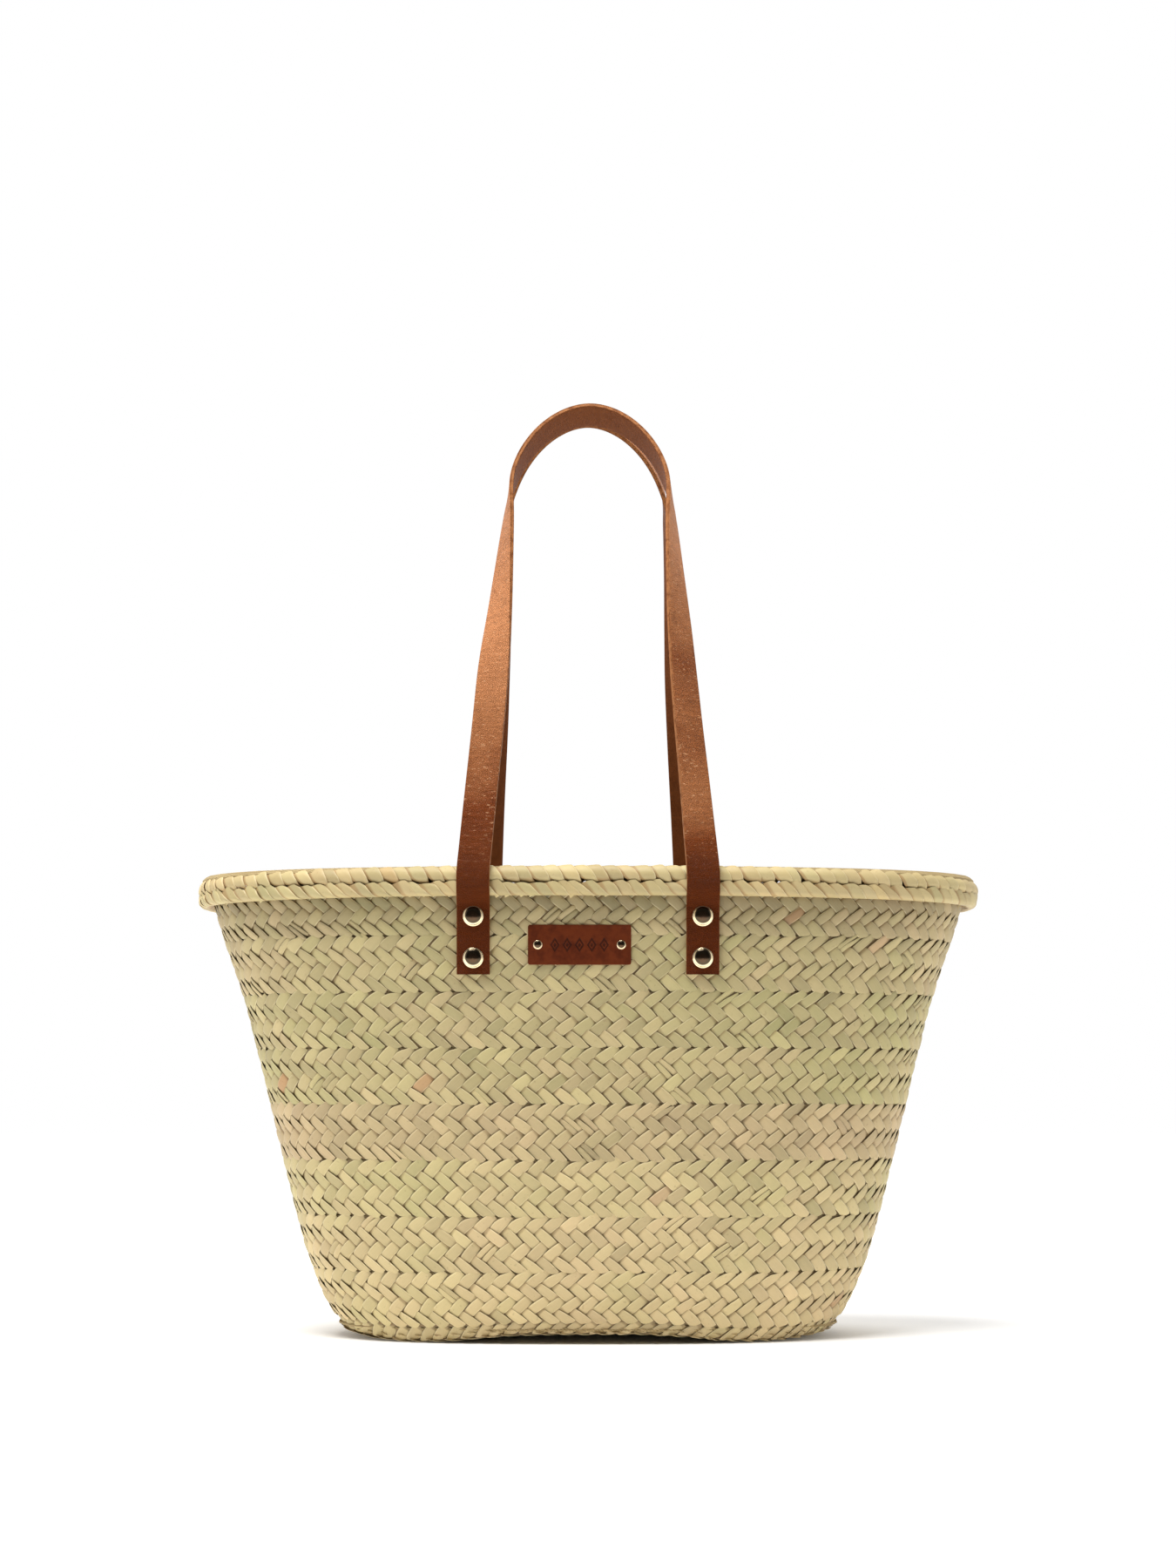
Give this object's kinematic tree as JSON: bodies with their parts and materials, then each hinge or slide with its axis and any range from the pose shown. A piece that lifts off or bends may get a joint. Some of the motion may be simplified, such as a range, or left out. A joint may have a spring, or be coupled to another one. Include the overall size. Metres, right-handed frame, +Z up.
{
  "type": "woven market basket",
  "caption": "Oval straw shopping basket of herringbone palm-leaf braid with flaring walls, a bound rim, a leather label and two long riveted leather shoulder handles that swing.",
  "frame": {"origin": "middle of the base's underside, on the surface the basket stands on", "axes": "+Z up, +X along the length of the oval mouth, -Y towards the front with the leather label"},
  "size_m": [0.534, 0.2612, 0.637],
  "materials": {
    "palm_leaf": "dry natural palm leaf, faint sheen",
    "rim_leaf": "smooth pale palm leaf",
    "palm_fibre": "rough twisted fibre",
    "strap_leather": "waxed vegetable-tanned leather, satin",
    "label_leather": "smooth leather, satin",
    "rivet_metal": "polished pale gold plate"
  },
  "bodies": {
    "basket": {"base_strip": "palm_leaf", "base_turn_1": "palm_leaf", "base_turn_2": "palm_leaf", "base_edge": "palm_leaf", "base_lacing_cord": "palm_fibre", "wall_course_1": "palm_leaf", "wall_course_2": "palm_leaf", "wall_course_3": "palm_leaf", "wall_course_4": "palm_leaf", "wall_course_5": "palm_leaf", "wall_course_6": "palm_leaf", "wall_course_7": "palm_leaf", "wall_course_8": "palm_leaf", "wall_lacing_cord": "palm_fibre", "rim_welt": "rim_leaf", "rim_core": "palm_fibre", "rim_wrap": "rim_leaf", "front_left_tab": "strap_leather", "front_right_tab": "strap_leather", "back_left_tab": "strap_leather", "back_right_tab": "strap_leather", "handle_rivet_caps": "rivet_metal", "handle_rivet_posts": "rivet_metal", "handle_rivet_washers": "rivet_metal", "label_patch": "label_leather", "label_rivet_caps": "rivet_metal", "label_rivet_posts": "rivet_metal"},
    "front_handle": {"front_handle": "strap_leather"},
    "back_handle": {"back_handle": "strap_leather"}
  },
  "joints": [
    {"name": "front_handle_swing", "type": "hinge", "parent": "basket", "child": "front_handle", "pos_m": [0, -0.12906, 0.305], "axis": [1, 0, 0], "range_deg": [0, 155]},
    {"name": "back_handle_swing", "type": "hinge", "parent": "basket", "child": "back_handle", "pos_m": [0, 0.12906, 0.305], "axis": [-1, 0, 0], "range_deg": [0, 155]}
  ]
}
